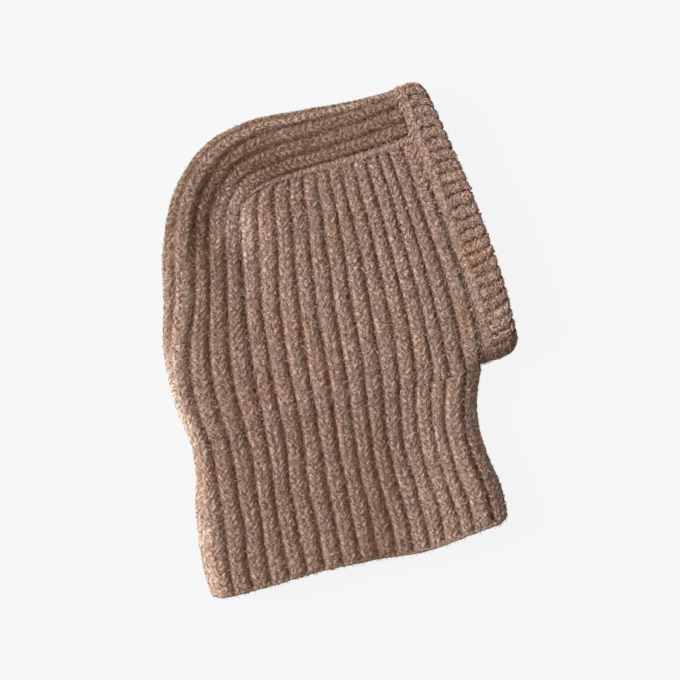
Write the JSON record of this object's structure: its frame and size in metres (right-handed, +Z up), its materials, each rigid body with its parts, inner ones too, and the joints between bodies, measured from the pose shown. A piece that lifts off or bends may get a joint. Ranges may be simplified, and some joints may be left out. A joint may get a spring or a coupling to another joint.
{
  "type": "knitted snood hood",
  "caption": "Knitted hood that covers head and neck, with a ribbed band round the open face, lying folded flat on its side.",
  "frame": {"origin": "on the surface that the hood lies on, under the middle of its outline", "axes": "+X towards the face opening, +Y from the hem towards the crown, +Z up out of the surface, through both layers"},
  "size_m": [0.301, 0.3807, 0.026],
  "materials": {
    "brushed_wool": "thick ribbed knit of brushed taupe wool, hairy and matt"
  },
  "bodies": {
    "root": {"neck_tube": "brushed_wool", "side_panel_right": "brushed_wool", "side_panel_left": "brushed_wool", "crown_strip": "brushed_wool", "face_band": "brushed_wool"}
  },
  "joints": []
}
